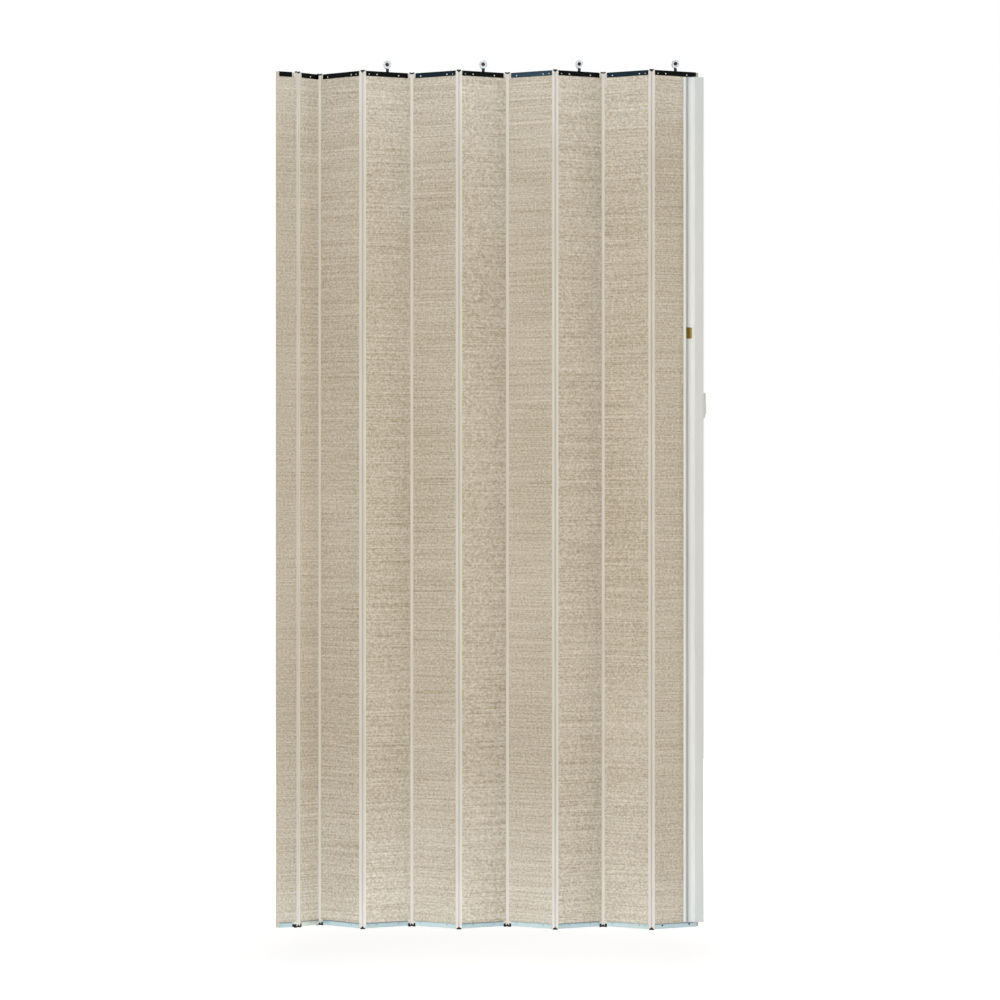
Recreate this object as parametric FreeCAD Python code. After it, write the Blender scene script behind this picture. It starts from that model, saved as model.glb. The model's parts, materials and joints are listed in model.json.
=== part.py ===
"""Accordion folding door: fabric-faced boards on vinyl hinges, hung on trolleys.

Millimetres. +X runs along the track to the lead post, -Y is the front and +Z is up.
The origin is the middle of the face by which the jamb strip meets the wall.
A panel is drawn in its own flat frame, where x runs from its left fold to its right fold,
y = 0 is the middle of the board and -y is the front, and is then turned into its place.
"""
import FreeCAD, Part
import cmath
import math
import os
from collections import namedtuple

Vector = FreeCAD.Vector
UP = Vector(0, 0, 1)
CENTRE = Vector(0, 0, 0)

# Boards
door_height = 1994.0
panel_count = 8
panel_length = 118.0
board_thickness = 10.0
hinge_gap = 3.9
lead_board_margin = 2.5
jamb_wrap_radius = 1.5

# Rest pose: the slope of the panels against the track
regular_fold = math.radians(24.0)
first_fold = math.radians(32.3)
jamb_slope = math.radians(23.0)
jamb_reach = 48.2

# End caps, bent from sheet steel
cap_height = 12.0
cap_sheet = 0.8
cap_fit = 0.1
cap_bend_radius = 1.1
cap_setback = 6.0
half_cap_setback = 4.0
jamb_cap_wall_setback = 5.8
jamb_cap_hinge_setback = 11.0
lead_cap_setback = 6.3

# Vinyl hinges
tongue_thickness = 7.4
tongue_depth = 7.0
hinge_fit = 0.1
bead_rise = 1.3
groove_rise = -1.8
web_hollow = 0.7

# Clips on the hinge ends
clip_rise = 2.4
clip_inset = 1.6
clip_root_width = 8.6
near_clip_width = 10.4
near_clip_depth = 4.6
far_clip_width = 12.4
far_clip_depth = 2.6
far_clip_saddle = 1.2

# Trolleys
axle_height = 16.5
axle_diameter = 4.0
axle_head_diameter = 8.4
axle_head_thickness = 1.2
axle_fit = 0.02
wheel_diameter = 18.6
wheel_width = 6.0
wheel_edge_radius = 1.0
wheel_bore_clearance = 0.05
wheel_side_clearance = 0.3
wheel_recess_inner = 9.0
wheel_recess_outer = 15.0
wheel_recess_depth = 1.0
stem_diameter = 7.0
stem_swivel_clearance = 0.05
collar_diameter = 9.6
collar_thickness = 3.0
collar_clearance = 0.05
eye_thickness = 5.0
eye_diameter = 7.4
pocket_width = 16.0
pocket_depth = 10.0

# Lead post
post_end_clearance = 1.0
post_length = 45.0
lip_width = 5.1
groove_width = 4.6
groove_depth = 3.6
neck_half_thickness = 10.0
nose_length = 24.6
nose_lead = 4.2
nose_half_thickness = 22.0
nose_corner_radius = 2.0
neck_root_radius = 9.0
post_wall = 2.2
post_fit = 0.1

# Latch in the lead post
latch_height = 219.0
latch_head_height = 60.0
latch_head_thickness = 6.0
latch_reach = 15.5
latch_top_reach = 14.0
latch_toe_reach = 10.5
latch_toe_height = 14.0
latch_travel = 10.0
latch_clearance = 0.3
latch_tail_height = 64.0
latch_tail_length = 6.0
case_wall = 1.2
spring_diameter = 5.6
spring_wire = 0.8
spring_turns = 6

half_height = door_height / 2
half_thickness = board_thickness / 2
cap_top_inside = half_height - cap_sheet
cap_edge = half_height - cap_height
hinge_end = cap_top_inside - hinge_fit
lead_board_end = panel_length - lead_board_margin

Panel = namedtuple("Panel", "name length slope left_axis right_axis start end cap_start cap_end")
Axis = namedtuple("Axis", "x y")


def box(x0, x1, y0, y1, z0, z1):
    return Part.makeBox(x1 - x0, y1 - y0, z1 - z0, Vector(x0, y0, z0))


def prism(points, z0, z1):
    corners = [Vector(x, y, z0) for x, y in points]
    return Part.Face(Part.makePolygon(corners + corners[:1])).extrude(UP * (z1 - z0))


def both_ends(shape):
    return [shape, shape.mirror(CENTRE, UP)]


def upright_edges(shape, places):
    """The edges along Z that stand at the given (x, y) places."""
    found = []
    for edge in shape.Edges:
        ends = [v.Point for v in edge.Vertexes]
        upright = len(ends) == 2 and abs(ends[0].x - ends[1].x) + abs(ends[0].y - ends[1].y) < 1e-6
        if upright and any(abs(ends[0].x - x) + abs(ends[0].y - y) < 1e-6 for x, y in places):
            found.append(edge)
    return found


# The chain of panels. Each fold axis lies on the face that is hollow at that fold, so that the
# panels can stack face to face; the jamb strip's fold has its axis in the middle of the board.
def half_panel_link():
    """Length and slope of the half panel that keep every trolley on the track line.

    The half panel, the first panel and half of the next one form a closed triangle of
    vectors, and then turning them all by one angle leaves the trolley on the line.
    """
    link = complex(panel_length, -board_thickness)
    reach = link * cmath.exp(1j * first_fold) - link / 2 * cmath.exp(1j * regular_fold)
    length = math.sqrt(abs(reach) ** 2 - half_thickness ** 2)
    return length, cmath.phase(reach) + math.atan2(half_thickness, length)


half_length, half_fold = half_panel_link()


def full_panel(number):
    """A full panel; the even ones run away from the viewer and carry the trolleys."""
    away = number % 2 == 0
    fold = first_fold if number == 1 else regular_fold
    front, rear = -half_thickness, half_thickness
    start, end = hinge_gap, panel_length - hinge_gap
    setbacks = (0.0, cap_setback) if away else (cap_setback, 0.0)
    if number == panel_count:
        end = lead_board_end
        setbacks = (0.0, lead_cap_setback)
    return Panel(
        str(number), panel_length, fold if away else -fold,
        rear if away else front, front if away else rear,
        start, end, start + setbacks[0], end - setbacks[1],
    )


def jamb_panel():
    length = jamb_reach / math.cos(jamb_slope)
    end = length - hinge_gap
    return Panel(
        "jamb", length, jamb_slope, 0.0, 0.0,
        -half_thickness * math.tan(jamb_slope), end,
        jamb_cap_wall_setback, end - jamb_cap_hinge_setback,
    )


def half_panel():
    end = half_length - hinge_gap
    return Panel(
        "half", half_length, half_fold, 0.0, -half_thickness,
        hinge_gap, end, hinge_gap + half_cap_setback, end,
    )


def step(axis, panel):
    """The fold axis at the right end of a panel, from the one at its left end."""
    along = panel.length
    across = panel.right_axis - panel.left_axis
    cosine, sine = math.cos(panel.slope), math.sin(panel.slope)
    return Axis(axis.x + along * cosine - across * sine, axis.y + along * sine + across * cosine)


panels = [jamb_panel(), half_panel()] + [full_panel(k) for k in range(1, panel_count + 1)]
left_axes = [Axis(0.0, 0.0)]
for panel in panels[:-1]:
    left_axes.append(step(left_axes[-1], panel))
trolley_numbers = [k for k in range(1, panel_count + 1) if k % 2 == 0]


def placed(shape, index):
    """A shape drawn in a panel's flat frame, moved to where that panel stands."""
    panel, axis = panels[index], left_axes[index]
    shape.translate(Vector(0, -panel.left_axis, 0))
    shape.rotate(CENTRE, UP, math.degrees(panel.slope))
    shape.translate(Vector(axis.x, axis.y, 0))
    return shape


def trolley_place(index):
    """Where the trolley of a panel stands: the middle of the panel, in the door's frame."""
    panel, axis = panels[index], left_axes[index]
    along, across = panel.length / 2, -panel.left_axis
    cosine, sine = math.cos(panel.slope), math.sin(panel.slope)
    return Vector(axis.x + along * cosine - across * sine, axis.y + along * sine + across * cosine, 0)


# Boards
def tongue_slot(start, end):
    half_slot = tongue_thickness / 2 + hinge_fit
    return box(start, end, -half_slot, half_slot, -half_height, half_height)


def cap_relief(start, end):
    """Where a board is cut away beside its caps, so that the hinge shows between them."""
    if end - start < 1e-6:
        return []
    return both_ends(box(start, end, -half_thickness, half_thickness, cap_edge, half_height))


def board(index):
    """A board with hinge slots in its edges, relieved beside the caps and under the trolley."""
    panel = panels[index]
    slot_depth = tongue_depth + hinge_fit
    body = box(panel.start, panel.end, -half_thickness, half_thickness, -cap_top_inside, cap_top_inside)
    cuts = []
    if index > 0:
        cuts += cap_relief(panel.start, panel.cap_start)
        cuts.append(tongue_slot(panel.start, panel.start + slot_depth))
    if index < len(panels) - 1:
        cuts += cap_relief(panel.cap_end, panel.end)
        cuts.append(tongue_slot(panel.end - slot_depth, panel.end))
    else:
        cuts.append(latch_mortise(panel))
    if index - 1 in trolley_numbers:
        middle, half_width = panel.length / 2, pocket_width / 2
        floor = cap_top_inside - pocket_depth
        cuts.append(box(middle - half_width, middle + half_width,
                        -half_thickness, half_thickness, floor, half_height))
    body = body.cut(cuts).removeSplitter()
    if index == 0:
        body = square_to_wall(body)
    return placed(body, index)


def square_to_wall(body):
    """Cut the jamb strip's outer edge square to the wall and round it where the fabric wraps."""
    slant = half_thickness * math.tan(jamb_slope)
    beyond = 2 * slant
    wedge = [(-beyond, -half_thickness), (-slant, -half_thickness), (slant, half_thickness),
             (-beyond, half_thickness)]
    body = body.cut(prism(wedge, -half_height, half_height)).removeSplitter()
    corners = [(-slant, -half_thickness), (slant, half_thickness)]
    return body.makeFillet(jamb_wrap_radius, upright_edges(body, corners))


# End caps
def cap(index):
    """The top cap of a panel: a channel with bent edges, bored for the hanger's stem."""
    panel = panels[index]
    inside = half_thickness + cap_fit
    outside = inside + cap_sheet
    channel = box(panel.cap_start, panel.cap_end, -outside, outside, cap_edge, half_height)
    bends = [e for e in channel.Edges
             if e.CenterOfMass.z > half_height - 1e-6 and abs(abs(e.CenterOfMass.y) - outside) < 1e-6]
    channel = channel.makeFillet(cap_bend_radius, bends)
    hollow = box(panel.cap_start, panel.cap_end, -inside, inside, cap_edge, cap_top_inside)
    return channel.cut(hollow)


def top_cap(index):
    shape = cap(index)
    if index - 1 in trolley_numbers:
        radius = stem_diameter / 2 + stem_swivel_clearance
        middle = Vector(panels[index].length / 2, 0, cap_edge)
        shape = shape.cut(Part.makeCylinder(radius, cap_height, middle))
    return placed(shape, index)


def bottom_cap(index):
    return placed(cap(index).mirror(CENTRE, UP), index)


# Hinges. A fold's own frame has u along X and v towards the side that bulges at the fold.
Fold = namedtuple("Fold", "axis bulge left_slope right_slope inner humped")


def fold(index):
    """The fold between panel `index` and the next one; `bulge` is the world Y of v."""
    axis = left_axes[index + 1]
    left, right = panels[index], panels[index + 1]
    bulge = 1 if index % 2 else -1
    inner = 0.0 if index else -half_thickness
    humped = index == 0 or bulge > 0
    return Fold(axis, bulge, bulge * left.slope, -bulge * right.slope, inner, humped)


def side_points(slope, side, inner):
    """Corners of one half of the hinge, from the hollow side out, on the left or the right.

    `along` runs from the fold axis into the board and `out` points to the bulging face.
    """
    along = Vector(side * math.cos(slope), -math.sin(slope), 0)
    out = Vector(side * math.sin(slope), math.cos(slope), 0)
    edge = hinge_gap - hinge_fit
    middle = inner + half_thickness
    low, high = middle - tongue_thickness / 2, middle + tongue_thickness / 2
    tip = hinge_gap + tongue_depth
    flat = [(edge, inner), (edge, low), (tip, low), (tip, high), (edge, high),
            (edge, inner + board_thickness)]
    return [along * a + out * b for a, b in flat]


Section = namedtuple("Section", "left right out groove web")


def section_points(place):
    """The corners of a hinge's two halves, and the points of its groove and its web between them."""
    right = side_points(place.right_slope, 1, place.inner)
    left = side_points(place.left_slope, -1, place.inner)
    span = right[-1] - left[-1]
    out = Vector(-span.y, span.x, 0).normalize()
    groove = (right[-1] + left[-1]) / 2 + out * groove_rise
    web = (right[0] + left[0]) / 2 + out * web_hollow
    return Section(left, right, out, groove, web)


def hinge_section(place):
    """The closed outline of a hinge: two tongues, two beads and a hollow web."""
    left, right, out, groove, web = section_points(place)
    edges = [Part.LineSegment(a, b).toShape() for a, b in zip(right, right[1:])]
    edges.append(Part.Arc(right[-1], (right[-1] + groove) / 2 + out * bead_rise, groove).toShape())
    edges.append(Part.Arc(groove, (left[-1] + groove) / 2 + out * bead_rise, left[-1]).toShape())
    edges += [Part.LineSegment(a, b).toShape() for a, b in zip(left[::-1], left[-2::-1])]
    edges.append(Part.Arc(left[0], web, right[0]).toShape())
    return Part.Wire(Part.__sortEdges__(edges))


def stand_at(shape, place):
    """Move a shape from a fold's own frame to its place in the door."""
    if place.bulge < 0:
        shape = shape.mirror(CENTRE, Vector(0, 1, 0))
    shape.translate(Vector(place.axis.x, place.axis.y, 0))
    return shape


def clip_outline(width, depth, saddle, margin):
    """Front outline of a clip: a bar over the hinge's end, hollowed by `saddle`, and a wedge in it."""
    top = half_height + clip_rise
    seat = half_height + hinge_fit
    root = clip_root_width / 2 + margin
    right = [(width / 2, top), (width / 2, seat), (root, seat), (root, hinge_end)]
    crown = [(-width / 5, top), (0, top - saddle), (width / 5, top)] if saddle else []
    wedge = [(0, half_height - depth - margin)]
    return crown + right + wedge + [(-u, z) for u, z in reversed(right)]


def clip_solid(place, margin):
    """A clip in the plane of the fold's bisector, from near the hinge's hollow face to its groove."""
    if place.humped:
        outline = clip_outline(far_clip_width, far_clip_depth, far_clip_saddle, margin)
    else:
        outline = clip_outline(near_clip_width, near_clip_depth, 0.0, margin)
    section = section_points(place)
    start = section.web.dot(section.out) + clip_inset - margin
    end = section.groove.dot(section.out) + margin
    corners = [Vector(u, start, z) for u, z in outline]
    solid = Part.Face(Part.makePolygon(corners + corners[:1])).extrude(Vector(0, end - start, 0))
    lean = (place.left_slope - place.right_slope) / 2
    solid.rotate(CENTRE, UP, math.degrees(lean))
    return solid


def hinge(index):
    place = fold(index)
    body = Part.Face(hinge_section(place)).extrude(UP * (2 * hinge_end))
    body.translate(Vector(0, 0, -hinge_end))
    return stand_at(body.cut(both_ends(clip_solid(place, hinge_fit))), place)


def hinge_clips(index):
    place = fold(index)
    return Part.makeCompound([stand_at(s, place) for s in both_ends(clip_solid(place, 0.0))])


# Trolleys, drawn round the middle of their panel
axle_z = half_height + axle_height
wheel_inner = eye_thickness / 2 + wheel_side_clearance
wheel_outer = wheel_inner + wheel_width


def cross_cylinder(radius, y0, y1):
    return Part.makeCylinder(radius, y1 - y0, Vector(0, y0, axle_z), Vector(0, 1, 0))


def hanger(index):
    """Collar, stem and eye in one forging, with the axle as a second solid."""
    collar_top = cap_top_inside - collar_clearance
    collar_base = collar_top - collar_thickness
    collar = Part.makeCylinder(collar_diameter / 2, collar_thickness, Vector(0, 0, collar_base))
    stem = Part.makeCylinder(stem_diameter / 2, axle_z - collar_base, Vector(0, 0, collar_base))
    flat = eye_thickness / 2
    eye = cross_cylinder(eye_diameter / 2, -flat, flat)
    shank = collar.fuse(stem.common(box(-stem_diameter, stem_diameter, -flat, flat, collar_base, axle_z)))
    round_top = axle_z - wheel_diameter / 2 - wheel_side_clearance
    lower_stem = Part.makeCylinder(stem_diameter / 2, round_top - collar_base, Vector(0, 0, collar_base))
    forging = shank.fuse([lower_stem, eye]).removeSplitter()
    forging = forging.cut(cross_cylinder(axle_diameter / 2 + axle_fit, -flat, flat))
    reach = wheel_outer + wheel_side_clearance
    axle = cross_cylinder(axle_diameter / 2, -reach, reach)
    heads = [cross_cylinder(axle_head_diameter / 2, reach, reach + axle_head_thickness),
             cross_cylinder(axle_head_diameter / 2, -reach - axle_head_thickness, -reach)]
    pair = Part.makeCompound([forging, axle.fuse(heads).removeSplitter()])
    pair.translate(trolley_place(index))
    return pair


def wheel():
    """One wheel: a disc with rounded edges, a recess in its outer face and a bore."""
    disc = cross_cylinder(wheel_diameter / 2, wheel_inner, wheel_outer)
    rims = [e for e in disc.Edges if isinstance(e.Curve, Part.Circle)]
    disc = disc.makeFillet(wheel_edge_radius, rims)
    bore = cross_cylinder(axle_diameter / 2 + wheel_bore_clearance, wheel_inner, wheel_outer)
    floor = wheel_outer - wheel_recess_depth
    recess = cross_cylinder(wheel_recess_outer / 2, floor, wheel_outer)
    recess = recess.cut(cross_cylinder(wheel_recess_inner / 2, floor, wheel_outer))
    return disc.cut([bore, recess])


def wheels(index):
    front = wheel().mirror(CENTRE, Vector(0, 1, 0))
    pair = Part.makeCompound([wheel(), front])
    pair.translate(trolley_place(index))
    return pair


# Lead post and latch, drawn in the flat frame of the last panel
post_half_height = cap_edge - post_end_clearance
nose_end = panel_length + nose_lead
nose_start = nose_end - nose_length
post_start = nose_end - post_length
slot_end = lead_board_end + post_fit
slot_half = half_thickness + post_fit
latch_low = latch_height - latch_head_height / 2
latch_high = latch_height + latch_head_height / 2
tail_end = slot_end - latch_clearance
tail_start = tail_end - latch_tail_length
spring_block = (spring_turns + 1) * spring_wire
case_start = tail_start - latch_travel - spring_block - 2 * latch_clearance - case_wall


def latch_mortise(panel):
    half_case = latch_tail_height / 2 + latch_clearance + case_wall
    return box(case_start, panel.end, -half_thickness, half_thickness,
               latch_height - half_case, latch_height + half_case)


def lead_post():
    """A hollow T section with a slot for the board, a lipped neck and a rounded nose."""
    lip_end = post_start + lip_width
    neck_start = lip_end + groove_width
    groove_floor = neck_half_thickness - groove_depth
    half = [(post_start, neck_half_thickness), (lip_end, neck_half_thickness), (lip_end, groove_floor),
            (neck_start, groove_floor), (neck_start, neck_half_thickness),
            (nose_start, neck_half_thickness), (nose_start, nose_half_thickness),
            (nose_end, nose_half_thickness)]
    outline = half + [(x, -y) for x, y in reversed(half)]
    z0, z1 = -post_half_height, post_half_height
    body = prism(outline, z0, z1)
    corners = [(x, side * nose_half_thickness) for x in (nose_start, nose_end) for side in (-1, 1)]
    body = body.makeFillet(nose_corner_radius, upright_edges(body, corners))
    roots = [(nose_start, side * neck_half_thickness) for side in (-1, 1)]
    body = body.makeFillet(neck_root_radius, upright_edges(body, roots))
    cuts = [box(post_start, slot_end, -slot_half, slot_half, z0, z1)]
    for side in (-1, 1):
        low, high = sorted((side * (slot_half + post_wall), side * (nose_half_thickness - post_wall)))
        cuts.append(box(nose_start + post_wall, nose_end - post_wall, low, high, z0, z1))
    mouth = latch_head_thickness / 2 + latch_clearance
    cuts.append(box(slot_end, nose_end, -mouth, mouth,
                    latch_low - latch_clearance, latch_high + latch_clearance))
    return body.cut(cuts)


def latch_case():
    """A box open to the leading edge, which guides the latch's tail and backs its spring."""
    inner_y = latch_head_thickness / 2 + latch_clearance
    inner_z = latch_tail_height / 2 + latch_clearance
    outer = box(case_start, slot_end - post_fit, -inner_y - case_wall, inner_y + case_wall,
                latch_height - inner_z - case_wall, latch_height + inner_z + case_wall)
    inner = box(case_start + case_wall, slot_end, -inner_y, inner_y,
                latch_height - inner_z, latch_height + inner_z)
    return outer.cut(inner)


def latch_tongue():
    """A blade with a flat top, a swell low on its edge and a tapered toe, on a taller tail."""
    half_blade = latch_head_thickness / 2
    half_tail = latch_tail_height / 2
    tip = nose_end + latch_reach
    outline = [(tail_end, latch_low), (nose_end + latch_toe_reach, latch_low),
               (tip, latch_low + latch_toe_height), (nose_end + latch_top_reach, latch_high),
               (tail_end, latch_high)]
    corners = [Vector(x, -half_blade, z) for x, z in outline]
    blade = Part.Face(Part.makePolygon(corners + corners[:1])).extrude(Vector(0, latch_head_thickness, 0))
    tail = box(tail_start, tail_end, -half_blade, half_blade,
               latch_height - half_tail, latch_height + half_tail)
    return blade.fuse(tail).removeSplitter()


def latch_spring():
    """A coil of round wire between the back of the case and the latch's tail."""
    start = case_start + case_wall + latch_clearance + spring_wire / 2
    end = tail_start - latch_clearance - spring_wire / 2
    radius = (spring_diameter - spring_wire) / 2
    helix = Part.makeHelix((end - start) / spring_turns, end - start, radius)
    wire = Part.Wire(Part.makeCircle(spring_wire / 2, Vector(radius, 0, 0), Vector(0, 1, 0)))
    coil = Part.Wire(helix).makePipeShell([wire], True, True)
    coil.rotate(CENTRE, Vector(0, 1, 0), 90)
    coil.translate(Vector(start, 0, latch_height))
    return coil


def nodes():
    """Every sub-part of the door, by name."""
    last = len(panels) - 1
    made = {}
    for index, panel in enumerate(panels):
        made["board_" + panel.name] = board(index)
        made["top_cap_" + panel.name] = top_cap(index)
        made["bottom_cap_" + panel.name] = bottom_cap(index)
    for index in range(last):
        made["hinge_" + str(index)] = hinge(index)
        made["hinge_clips_" + str(index)] = hinge_clips(index)
    for number in trolley_numbers:
        made["hanger_" + str(number)] = hanger(number + 1)
        made["wheels_" + str(number)] = wheels(number + 1)
    for name, make in (("lead_post", lead_post), ("latch_case", latch_case),
                       ("latch_tongue", latch_tongue), ("latch_spring", latch_spring)):
        made[name] = placed(make(), last)
    return made


os.makedirs("parts", exist_ok=True)
for node, shape in nodes().items():
    shape.exportStep("parts/" + node + ".step")
    print(node, len(shape.Solids), round(shape.Volume), shape.isValid())
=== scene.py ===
# %% [markdown]
# # An accordion folding door
# Ten linen-faced boards hang side by side from a track and fold like a paper fan. Flexible vinyl
# hinges join them, bent steel caps close their ends, and a stiff vinyl post leads the way. The
# construction comes in as a frame that stays where it is. This lesson gives every piece its
# finish, and makes anew the pieces that have to bend.

# %% Load the frame
import json
import math
from collections import namedtuple

import bpy
import numpy as np
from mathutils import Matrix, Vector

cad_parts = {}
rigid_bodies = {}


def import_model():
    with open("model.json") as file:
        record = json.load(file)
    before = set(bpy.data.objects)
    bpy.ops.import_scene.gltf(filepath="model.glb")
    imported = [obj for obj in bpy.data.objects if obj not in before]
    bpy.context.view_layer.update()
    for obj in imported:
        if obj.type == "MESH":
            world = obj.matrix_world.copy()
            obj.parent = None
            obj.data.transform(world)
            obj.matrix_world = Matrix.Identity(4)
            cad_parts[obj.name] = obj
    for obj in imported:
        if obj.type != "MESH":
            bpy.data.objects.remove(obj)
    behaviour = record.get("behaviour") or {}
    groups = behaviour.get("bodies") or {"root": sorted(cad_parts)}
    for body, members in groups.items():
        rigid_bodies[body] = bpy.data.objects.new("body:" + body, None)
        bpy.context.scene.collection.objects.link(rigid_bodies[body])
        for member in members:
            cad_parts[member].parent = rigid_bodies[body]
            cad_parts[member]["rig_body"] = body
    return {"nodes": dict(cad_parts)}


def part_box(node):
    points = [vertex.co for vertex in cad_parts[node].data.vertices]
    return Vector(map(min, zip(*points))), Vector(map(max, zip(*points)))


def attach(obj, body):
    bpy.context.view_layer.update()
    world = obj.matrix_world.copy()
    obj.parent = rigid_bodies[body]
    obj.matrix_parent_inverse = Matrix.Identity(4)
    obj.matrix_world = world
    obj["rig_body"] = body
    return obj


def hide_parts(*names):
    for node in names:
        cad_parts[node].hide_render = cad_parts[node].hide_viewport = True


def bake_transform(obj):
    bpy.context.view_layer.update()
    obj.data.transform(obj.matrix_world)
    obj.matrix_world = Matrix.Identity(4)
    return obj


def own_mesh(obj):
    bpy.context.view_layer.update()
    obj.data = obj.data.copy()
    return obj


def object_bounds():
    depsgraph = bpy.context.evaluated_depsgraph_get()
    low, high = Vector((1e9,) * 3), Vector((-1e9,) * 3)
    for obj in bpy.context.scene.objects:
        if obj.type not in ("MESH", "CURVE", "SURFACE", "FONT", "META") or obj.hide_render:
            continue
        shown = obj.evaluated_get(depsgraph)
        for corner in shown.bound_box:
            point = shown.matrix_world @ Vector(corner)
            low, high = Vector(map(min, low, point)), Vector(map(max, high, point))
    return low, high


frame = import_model()
nodes = frame["nodes"]
cad_low, cad_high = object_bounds()
MM = 0.001
print("frame:", len(nodes), "nodes, height", round(cad_high.z - cad_low.z, 3), "m")

# %% [markdown]
# ## Where the boards stand
# Nearly everything here is placed against a board: rivets on its caps, hinges on its edges, the
# weave along its face. We could type in the angles of the zigzag, but the frame already knows
# them. The largest triangle that looks to the front tells a board's slope, and projecting the
# corners on two directions, along the board and across it, gives its ends and its two faces.

# %% Read each board's own directions
Board = namedtuple("Board", "name body slope along across start end front rear")
BOARD_NAMES = ["jamb", "half"] + [str(k) for k in range(1, 9)]


def corners_of(node):
    """All corners of a node as rows of x, y, z."""
    vertices = nodes[node].data.vertices
    flat = np.empty(3 * len(vertices), np.float32)
    vertices.foreach_get("co", flat)
    return flat.reshape(-1, 3).astype(float)


def front_slope(node):
    """Angle of a board against the track: the front face looks to (sin slope, -cos slope)."""
    polygons = nodes[node].data.polygons
    areas = np.empty(len(polygons), np.float32)
    normals = np.empty(3 * len(polygons), np.float32)
    polygons.foreach_get("area", areas)
    polygons.foreach_get("normal", normals)
    normals = normals.reshape(-1, 3)
    front = normals[np.argmax(np.where(normals[:, 1] < 0, areas, 0))]
    return math.atan2(front[0], -front[1])


def read_board(name):
    """A board's directions in plan, and the least and greatest reach along them."""
    node = "board_" + name
    slope = front_slope(node)
    along = np.array([math.cos(slope), math.sin(slope)])
    across = np.array([-math.sin(slope), math.cos(slope)])
    flat = corners_of(node)[:, :2]
    reach, depth = flat @ along, flat @ across
    return Board(name, nodes[node]["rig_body"], slope, along, across,
                 reach.min(), reach.max(), depth.min(), depth.max())


def spot(board, reach, depth):
    """A plan point of a board: reach times its along direction plus depth times its across direction."""
    return np.multiply.outer(reach, board.along) + np.multiply.outer(depth, board.across)


boards = [read_board(name) for name in BOARD_NAMES]
print("slopes:", [round(math.degrees(b.slope), 1) for b in boards])

# %% [markdown]
# ## The camera
# The door was photographed nearly from straight ahead with a long lens, at half its height. So
# the near folds look only a little taller than the far ones. A long lens far away gives the same
# mild perspective, and a slight swing to the right makes the post's end look taller.

# %% Set the camera
PHOTO_SIZE = 1000
PHOTO_FOCAL = 3000.0
PHOTO_MIDDLE_ROW = 499.5
SENSOR = 36.0
CAMERA_DISTANCE = 6.975
CAMERA_X = 0.5215
CAMERA_SWING = math.radians(1.2)

lens = bpy.data.cameras.new("studio_camera")
lens.sensor_width = SENSOR
lens.lens = PHOTO_FOCAL / PHOTO_SIZE * SENSOR
camera = bpy.data.objects.new("studio_camera", lens)
camera_z = (PHOTO_MIDDLE_ROW - PHOTO_SIZE / 2) * CAMERA_DISTANCE / PHOTO_FOCAL
aside, back = math.sin(CAMERA_SWING) * CAMERA_DISTANCE, math.cos(CAMERA_SWING) * CAMERA_DISTANCE
camera.location = (CAMERA_X + aside, -back, camera_z)
camera.rotation_euler = (math.pi / 2, 0, CAMERA_SWING)
bpy.context.scene.collection.objects.link(camera)
bpy.context.scene.camera = camera
bpy.context.scene.view_settings.view_transform = "Standard"
print("lens", lens.lens, "mm")

# %% [markdown]
# ## Shader helpers
# A finish is a small network of nodes, and a few helpers keep the networks readable. One adds a
# node and wires its inputs, one does arithmetic, and one lays a noise whose grain is given in
# lumps per metre, so that every size in a finish is a real size. Others mix colours, start a group
# that several materials can share, or start a material.

# %% Node helpers
def connect(tree, node, key, value):
    """Give an input a value, or wire it to another node's output."""
    if isinstance(value, bpy.types.NodeSocket):
        tree.links.new(value, node.inputs[key])
    else:
        node.inputs[key].default_value = value


def add_node(tree, kind, inputs=None, **settings):
    """Add a shader node. `inputs` maps a socket's name or number to a value or to another output."""
    made = tree.nodes.new("ShaderNode" + kind)
    for name, value in settings.items():
        setattr(made, name, value)
    for key, value in (inputs or {}).items():
        connect(tree, made, key, value)
    return made


def calc(tree, operation, *values):
    """One step of arithmetic on numbers and outputs."""
    return add_node(tree, "Math", dict(enumerate(values)), operation=operation).outputs[0]


def lumps(tree, place, per_metre, detail=2.0, shift=(0.0, 0.0, 0.0)):
    """Noise from 0 to 1 with `per_metre` lumps along each axis. `shift` keeps two noises apart."""
    spread = add_node(tree, "VectorMath", {0: place, 1: per_metre, 2: shift},
                      operation="MULTIPLY_ADD").outputs[0]
    return add_node(tree, "TexNoise", {"Vector": spread, "Scale": 1.0, "Detail": detail}).outputs[0]


# %% Colours and ranges
# The numbers of the Mix node's colour sockets.
MIX_SHARE, MIX_FIRST, MIX_SECOND, MIX_RESULT = 0, 6, 7, 2


def mix_colours(tree, share, first, second, blend="MIX"):
    """Two colours mixed: the first where share is 0 and the second where it is 1."""
    inputs = {MIX_SHARE: share, MIX_FIRST: first, MIX_SECOND: second}
    return add_node(tree, "Mix", inputs, data_type="RGBA", blend_type=blend).outputs[MIX_RESULT]


def blend_colours(tree, share, low, high):
    """A colour ramp of two ends: `low` where share is 0 and `high` where it is 1."""
    return mix_colours(tree, share, (*low, 1.0), (*high, 1.0))


def spread_between(tree, value, low, high, start=0.0, end=1.0):
    """Map start..end to low..high, and hold the ends."""
    return add_node(tree, "MapRange", {"Value": value, "From Min": start, "From Max": end,
                                       "To Min": low, "To Max": high}).outputs[0]


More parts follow.
